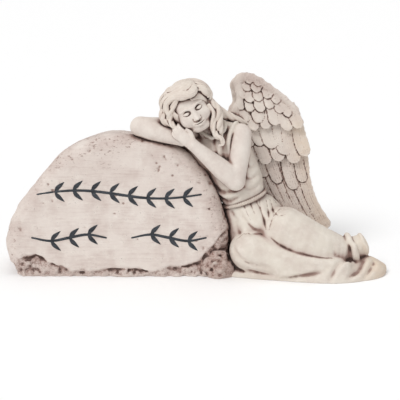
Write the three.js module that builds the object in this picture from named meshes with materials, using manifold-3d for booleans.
// A resin memorial figurine: an angel rests its head on its arms on top of a flat-faced boulder, with its
// robe spread on the ground to one side and two folded wings behind it. It is cast resin, sculpted as
// separate forms that meet along thin glue lines.
// Millimetres. +Z is up, -Y is the front, +X is the side the robe trails to, and the ground is Z = 0.
// "left" and "right" are the angel's own, so the left arm and left wing are on the +X side.
import * as THREE from "three";
import { mergeVertices } from "three/addons/utils/BufferGeometryUtils.js";
import Module from "manifold-3d";

const wasm = await Module();
wasm.setup();

// ---------- driving dimensions ----------

const GLUE_LINE = 0.5; // gap left between two neighbouring forms
const FACET_TOLERANCE = 0.16; // how far a facet may stand off the form once the cuts are made
const ROOM = 400; // larger than the whole figurine, for the ground cut

const STONE_THICKNESS = 46;
const STONE_LEAN = THREE.MathUtils.degToRad(8); // the face tilts back
const STONE_EDGE = 9; // rounding between the flat face and the sides
const STONE_FACE_FOOT = -21; // Y of the flat face at the ground
const SPRIG_LIFT = 1; // from the stone's face to the middle of the painted relief

const HEAD_PLACE = [-2.5, -4, 105];
const HEAD_ROLL = THREE.MathUtils.degToRad(-25); // the crown leans towards the stone
const HEAD_YAW = THREE.MathUtils.degToRad(8);

const LEFT_SHOULDER = [26.5, 0, 86.5];
const LEFT_ELBOW = [23, -12, 60];
const LEFT_WRIST = [-3, -15, 83];
const LEFT_KNUCKLES = [-10.5, -13.5, 89];
const RIGHT_SHOULDER = [0, 9, 87];
const RIGHT_ELBOW = [-35.5, -3, 92];
const RIGHT_WRIST = [-9, -9, 84.5];
const RIGHT_KNUCKLES = [2, -6, 81.5];

const WAIST = [29, 0, 45.5];
const WAIST_ROLL = THREE.MathUtils.degToRad(-21); // the torso leans towards the stone
const LEFT_WING_ROOT = [28, 12.5, 84];
const RIGHT_WING_ROOT = [26, 23, 82];
const RIGHT_WING_SIZE = 0.93;
const WING_SPREAD = THREE.MathUtils.degToRad(3.5);
const FEATHER_LAYER = 3.2; // thickness of one row of feathers
const FEATHER_EDGE = 0.9;

// ---------- materials ----------

const resin = (color) => new THREE.MeshStandardMaterial({ color, roughness: 0.8, metalness: 0 });
const STONE_RESIN = resin(0xddd3c7);
const ROCK_RESIN = resin(0x8c7468);
const SKIN_RESIN = resin(0xe2d9cc);
const HAIR_RESIN = resin(0xd6c9b8);
const ROBE_RESIN = resin(0xdfd6c9);
const FEATHER_RESIN = resin(0xd2c5b8);
const ENGRAVING_PAINT = new THREE.MeshStandardMaterial({ color: 0x23262a, roughness: 0.55, metalness: 0 });

// ---------- solids ----------

const point = (p) => new THREE.Vector3(...p);

// A closed geometry as a solid that can be cut and joined.
function solidOf(geometry) {
  const loose = geometry.index ? geometry.toNonIndexed() : geometry;
  const bare = new THREE.BufferGeometry().setAttribute("position", loose.getAttribute("position"));
  const merged = mergeVertices(bare, 1e-3);
  return new wasm.Manifold(
    new wasm.Mesh({
      numProp: 3,
      vertProperties: merged.attributes.position.array,
      triVerts: new Uint32Array(merged.index.array),
    }),
  );
}

function geometryOf(solid) {
  const mesh = solid.getMesh();
  const geometry = new THREE.BufferGeometry();
  geometry.setAttribute("position", new THREE.BufferAttribute(new Float32Array(mesh.vertProperties), 3));
  geometry.setIndex(new THREE.BufferAttribute(new Uint32Array(mesh.triVerts), 1));
  geometry.computeVertexNormals();
  return geometry;
}

const joined = (...geometries) => geometryOf(geometries.map(solidOf).reduce((a, b) => a.add(b)));
const cut = (geometry, ...tools) =>
  geometryOf(tools.map(solidOf).reduce((a, b) => a.subtract(b), solidOf(geometry)));

// The same form, thicker all over by one glue line, as the room its neighbours must leave.
function roomFor(solid) {
  const geometry = geometryOf(solid);
  const { position, normal } = geometry.attributes;
  for (let i = 0; i < position.count; i++) {
    position.setXYZ(
      i,
      position.getX(i) + normal.getX(i) * GLUE_LINE,
      position.getY(i) + normal.getY(i) * GLUE_LINE,
      position.getZ(i) + normal.getZ(i) * GLUE_LINE,
    );
  }
  return solidOf(geometry);
}

// ---------- basic forms ----------

function ellipsoid(radii, centre = [0, 0, 0], detail = 16) {
  return new THREE.SphereGeometry(1, detail, Math.round(detail * 0.7)).scale(...radii).translate(...centre);
}

// A rounded limb: a lathed form with round ends, bent along a curve through the given points. Each point
// has a radius, and depth scales the section along Y.
function limb(points, radii, { depth = 1, sides = 12, rings = 10 } = {}) {
  const curve = new THREE.CatmullRomCurve3(points.map(point), false, "centripetal");
  const length = curve.getLength();
  const radiusAt = (t) => {
    const place = THREE.MathUtils.clamp(t, 0, 1) * (radii.length - 1);
    const i = Math.min(Math.floor(place), radii.length - 2);
    return THREE.MathUtils.lerp(radii[i], radii[i + 1], THREE.MathUtils.smoothstep(place - i, 0, 1));
  };
  const profile = [];
  const capSteps = 3;
  for (let i = 0; i < capSteps; i++) {
    const angle = (i / capSteps) * (Math.PI / 2);
    profile.push(new THREE.Vector2(radii[0] * Math.sin(angle), -radii[0] * Math.cos(angle)));
  }
  for (let i = 0; i <= rings; i++) {
    profile.push(new THREE.Vector2(radiusAt(i / rings), (i / rings) * length));
  }
  const end = radii[radii.length - 1];
  for (let i = capSteps - 1; i >= 0; i--) {
    const angle = (i / capSteps) * (Math.PI / 2);
    profile.push(new THREE.Vector2(end * Math.sin(angle), length + end * Math.cos(angle)));
  }
  const geometry = new THREE.LatheGeometry(profile, sides);
  const position = geometry.attributes.position;
  const back = new THREE.Vector3(0, 1, 0);
  for (let i = 0; i < position.count; i++) {
    const along = position.getY(i);
    const t = THREE.MathUtils.clamp(along / length, 0, 1);
    const tangent = curve.getTangentAt(t);
    const side = new THREE.Vector3().crossVectors(back, tangent).normalize();
    const outward = new THREE.Vector3().crossVectors(tangent, side);
    const place = curve.getPointAt(t).addScaledVector(tangent, along - t * length);
    place.addScaledVector(side, position.getX(i)).addScaledVector(outward, -position.getZ(i) * depth);
    position.setXYZ(i, place.x, place.y, place.z);
  }
  return geometry;
}

function smoothOutline(points, steps) {
  const loop = points.map(([x, y]) => new THREE.Vector3(x, y, 0));
  const curve = new THREE.CatmullRomCurve3(loop, true, "centripetal");
  return new THREE.Shape(curve.getSpacedPoints(steps).slice(0, -1).map((p) => new THREE.Vector2(p.x, p.y)));
}

// An upright plate: an outline in X and Z, thick along Y and centred on Y = 0, with rounded rims.
function uprightPlate(shape, thickness, edge, edgeSteps = 2) {
  return new THREE.ExtrudeGeometry(shape, {
    depth: thickness - 2 * edge,
    bevelThickness: edge,
    bevelSize: edge,
    bevelOffset: -edge,
    bevelSegments: edgeSteps,
  })
    .translate(0, 0, edge - thickness / 2)
    .rotateX(Math.PI / 2);
}

// ---------- the stone ----------

function boulder() {
  const outline = [
    [-106, -8], [-115, 3], [-119.5, 13], [-120.4, 22], [-118, 33], [-111.5, 46], [-101.5, 59], [-91.5, 71],
    [-83, 79], [-70, 85.5], [-54, 89.5], [-38, 88.5], [-20, 85], [-6, 77.5], [5, 66], [12.5, 52], [17, 38],
    [20, 27], [20.5, 16], [17, 4], [8, -8],
  ];
  return uprightPlate(smoothOutline(outline, 48), STONE_THICKNESS, STONE_EDGE, 4);
}

function groundRock() {
  const rock = new THREE.IcosahedronGeometry(1, 2);
  const position = rock.attributes.position;
  for (let i = 0; i < position.count; i++) {
    const [x, y, z] = [position.getX(i), position.getY(i), position.getZ(i)];
    const bump = 1 + 0.09 * Math.sin(5 * x + 2 * z) * Math.cos(4 * y - 3 * z);
    position.setXYZ(i, x * bump * 10.5, y * bump * 12, z * bump * 11);
  }
  return rock;
}

// One painted sprig in low relief: a wavy stem with a pair of leaves at each step, on the stone's face.
function sprig(length, wave, pairs) {
  const stemPoints = [];
  for (let i = 0; i <= pairs + 1; i++) {
    const t = i / (pairs + 1);
    stemPoints.push([length * (t - 0.5), 0, wave * Math.sin(t * Math.PI * 2)]);
  }
  const stem = limb(stemPoints, [0.8, 1.1, 0.8], { depth: 0.5, sides: 6, rings: 12 });
  const leaves = [];
  for (let i = 1; i <= pairs; i++) {
    for (const side of [1, -1]) {
      const [x, , z] = stemPoints[i];
      const leaf = ellipsoid([4.6, 0.5, 1.5], [3.4, 0, 0], 6)
        .rotateY(-side * THREE.MathUtils.degToRad(52))
        .translate(x, 0, z);
      leaves.push(leaf);
    }
  }
  return joined(stem, ...leaves);
}

// ---------- the figure ----------

function head() {
  const skull = ellipsoid([11.4, 13, 12], [0, 1.5, 4], 20);
  const face = ellipsoid([9.2, 9.6, 12.2], [0, -3, -3.6], 20);
  const nose = limb([[0, -11.5, 2], [0, -13.2, -3]], [0.9, 1.5], { sides: 8, rings: 3 });
  return joined(skull, face, nose);
}

const neck = () => limb([[10, 3, 83], [5, 1, 90], [1, 0, 97]], [6.4, 5.2, 5.6]);

function hairCap() {
  const mass = ellipsoid([15.6, 15.2, 15.2], [-0.5, 2, 3.5], 22);
  const brow = limb([[-9, -8.5, 10], [1, -11.5, 13], [10, -9, 9]], [4.2, 4.6, 3.8], { sides: 10, rings: 8 });
  const faceWindow = ellipsoid([10.5, 14, 11.5], [-0.5, -13, -4.5], 18);
  const neckHole = ellipsoid([9, 12, 8], [0, -4, -15], 14);
  return cut(joined(mass, brow), faceWindow, neckHole);
}

const rightLock = () =>
  limb([[-17, -5, 111], [-21.5, -5, 104], [-20.5, -6.5, 97], [-15, -9, 93]], [3.6, 4.4, 3.8, 2.4], { sides: 10 });
const leftLock = () =>
  limb([[8.5, -6, 113], [12.5, -8, 103], [12, -9, 93], [13.5, -9.5, 84.5]], [4, 3.8, 3.4, 2.6], { sides: 10 });
const backHair = () => limb([[3, 14, 106], [8, 17, 95], [12, 16.5, 83]], [8, 8.5, 4.5], { depth: 0.55 });

function torso() {
  const trunk = limb(
    [WAIST, [24, 2, 58], [18, 3, 72], [13, 4, 82]],
    [13.2, 15.6, 15.6, 12],
    { depth: 0.8, sides: 16, rings: 10 },
  );
  const shoulders = limb([RIGHT_SHOULDER, [12, 5, 87.5], LEFT_SHOULDER], [6.4, 6.6, 6.8], { sides: 12 });
  return joined(trunk, shoulders);
}

const waistCord = () => new THREE.TorusGeometry(13.2, 1.5, 6, 28).scale(1, 0.86, 1);

const hand = (wrist, knuckles) => {
  const middle = wrist.map((value, i) => (value + knuckles[i]) / 2);
  return limb([wrist, middle, knuckles], [3.9, 4.7, 3.2], { depth: 0.72, rings: 6 });
};

const arm = (shoulder, elbow, wrist) =>
  joined(
    limb([shoulder, elbow], [7.3, 6.1], { rings: 5, sides: 14 }),
    limb([elbow, wrist], [6.1, 3.9], { rings: 6, sides: 14 }),
  );

// ---------- the robe ----------

const hipDrape = () =>
  limb([[30, 1, 38], [37, 2, 27], [42, 3, 8]], [14, 20.5, 25], { depth: 0.92, sides: 20, rings: 6 });
const thighDrape = () =>
  limb([[54, -9, 25.5], [72, -13, 19], [91, -12, 15]], [16.5, 13.5, 9], { sides: 16, rings: 8 });
const kneeDrape = () =>
  limb([[32, -16, 16], [58, -20.5, 10], [88, -23, 6]], [12.5, 10.5, 7], { sides: 14, rings: 8 });
const cuffFold = () => limb([[96.5, -11, 16], [101.5, -10, 17.5]], [8.2, 7.4], { sides: 14, rings: 4 });

function hemDrape() {
  const plan = [
    [19, -19], [28, -23], [44, -27], [63, -31], [82, -33.5], [98, -30.5], [112, -24], [118.5, -15], [119, -7],
    [112, 1], [100, 8], [82, 20], [58, 28], [34, 28], [22, 18], [16, 0],
  ];
  const edge = 4;
  return new THREE.ExtrudeGeometry(smoothOutline(plan, 44), {
    depth: 6,
    bevelThickness: edge,
    bevelSize: edge,
    bevelOffset: -edge,
    bevelSegments: 3,
  }).translate(0, 0, -1);
}

// ---------- the wings ----------

// Each row of feathers is a plate whose lower rim is scalloped by the feather tips. Outlines are in X and Z
// from the wing's root on the shoulder blade.
const COVERT_ROW = [
  [-8, 12], [-4, 21], [-5.5, 30], [-6, 36], [-2, 39.5], [7, 38], [16, 32], [25, 26.5], [34, 17.5], [38.5, 8],
  [33, 4], [28, 1.5], [22, 4], [17, -1.5], [10, 3.5], [4, 2], [-3, 7],
];
const SECONDARY_ROW = [
  [0, 10], [20, 14], [35, 15], [40, 3], [43.5, -14], [37, -11], [33, -18], [26, -12], [20, -19], [15, -12],
  [7, -20], [0, -8],
];
const PRIMARY_ROW = [
  [6, 4], [24, 6], [39, 2], [42, -18], [43, -32], [47, -44], [54, -56], [57.5, -60], [49, -58], [44, -54.5],
  [38, -53], [33, -48], [27, -47], [18, -46], [8, -43], [3, -28], [1, -10],
];

const featherRow = (outline, steps) => uprightPlate(smoothOutline(outline, steps), FEATHER_LAYER, FEATHER_EDGE);

// ---------- assembly ----------

const figurine = new THREE.Group();
const bodies = []; // in the order in which neighbours give way: each form is cut by the ones before it

function add(parent, name, geometry, material, place = [0, 0, 0], turn = [0, 0, 0]) {
  const mesh = new THREE.Mesh(geometry, material);
  mesh.name = name;
  mesh.position.set(...place);
  mesh.rotation.set(...turn);
  parent.add(mesh);
  bodies.push(mesh);
  return mesh;
}

const figure = new THREE.Group();
const headFrame = new THREE.Group();
headFrame.position.set(...HEAD_PLACE);
headFrame.rotation.set(0, HEAD_ROLL, HEAD_YAW, "ZYX");
figure.add(headFrame);
add(headFrame, "head", head(), SKIN_RESIN);
add(figure, "left_hand", hand(LEFT_WRIST, LEFT_KNUCKLES), SKIN_RESIN);
add(figure, "left_arm", arm(LEFT_SHOULDER, LEFT_ELBOW, LEFT_WRIST), SKIN_RESIN);
add(figure, "right_hand", hand(RIGHT_WRIST, RIGHT_KNUCKLES), SKIN_RESIN);
add(figure, "right_arm", arm(RIGHT_SHOULDER, RIGHT_ELBOW, RIGHT_WRIST), SKIN_RESIN);
add(headFrame, "hair_cap", hairCap(), HAIR_RESIN);
add(figure, "right_hair_lock", rightLock(), HAIR_RESIN);
add(figure, "left_hair_lock", leftLock(), HAIR_RESIN);
add(figure, "neck", neck(), SKIN_RESIN);
add(figure, "waist_cord", waistCord(), ROBE_RESIN, WAIST, [0, WAIST_ROLL, 0]);
add(figure, "torso", torso(), ROBE_RESIN);
add(figure, "back_hair", backHair(), HAIR_RESIN);
add(figure, "hem_drape", hemDrape(), ROBE_RESIN);
add(figure, "cuff_fold", cuffFold(), ROBE_RESIN);
add(figure, "thigh_drape", thighDrape(), ROBE_RESIN);
add(figure, "knee_drape", kneeDrape(), ROBE_RESIN);
add(figure, "hip_drape", hipDrape(), ROBE_RESIN);
figurine.add(figure);

// A wing's rows lie one behind the other, the coverts outermost. facing is -1 for a wing seen from the front.
function addWing(side, root, size, facing) {
  const wing = new THREE.Group();
  wing.position.set(...root);
  wing.rotation.z = facing * WING_SPREAD;
  wing.scale.set(size, 1, size);
  const step = facing * (FEATHER_LAYER + GLUE_LINE);
  add(wing, `${side}_wing_coverts`, featherRow(COVERT_ROW, 50), FEATHER_RESIN, [0, step, 0]);
  add(wing, `${side}_wing_secondaries`, featherRow(SECONDARY_ROW, 46), FEATHER_RESIN);
  add(wing, `${side}_wing_primaries`, featherRow(PRIMARY_ROW, 50), FEATHER_RESIN, [0, -step, 0]);
  figurine.add(wing);
}
addWing("left", LEFT_WING_ROOT, 1, -1);
addWing("right", RIGHT_WING_ROOT, RIGHT_WING_SIZE, 1);

const stone = new THREE.Group();
stone.position.y = STONE_FACE_FOOT;
stone.rotation.x = -STONE_LEAN;
add(stone, "sprig_upper", sprig(102, 2.5, 8), ENGRAVING_PAINT, [-49, -SPRIG_LIFT, 52]);
add(stone, "sprig_lower_left", sprig(46, -2, 3), ENGRAVING_PAINT, [-80, -SPRIG_LIFT, 25]);
add(stone, "sprig_lower_right", sprig(46, 2, 3), ENGRAVING_PAINT, [-18, -SPRIG_LIFT, 25]);
add(stone, "ground_rock", groundRock(), ROCK_RESIN, [14, 8, 6]);
add(stone, "boulder", boulder(), STONE_RESIN, [0, STONE_THICKNESS / 2, 0]);
figurine.add(stone);

// Fits the forms together: each is cut flat at the ground and gives way to the forms listed before it, and
// only its largest part is kept where a cut would leave crumbs.
function fitTogether() {
  figurine.updateMatrixWorld(true);
  const ground = solidOf(new THREE.BoxGeometry(ROOM, ROOM, ROOM).translate(0, 0, ROOM / 2));
  const rooms = [];
  for (const mesh of bodies) {
    let solid = solidOf(mesh.geometry.clone().applyMatrix4(mesh.matrixWorld)).intersect(ground);
    for (const room of rooms) solid = solid.subtract(room);
    solid = solid.simplify(FACET_TOLERANCE).decompose().sort((a, b) => b.volume() - a.volume())[0];
    rooms.push(roomFor(solid));
    mesh.geometry = geometryOf(solid).applyMatrix4(mesh.matrixWorld.clone().invert());
  }
}
fitTogether();

export default figurine;
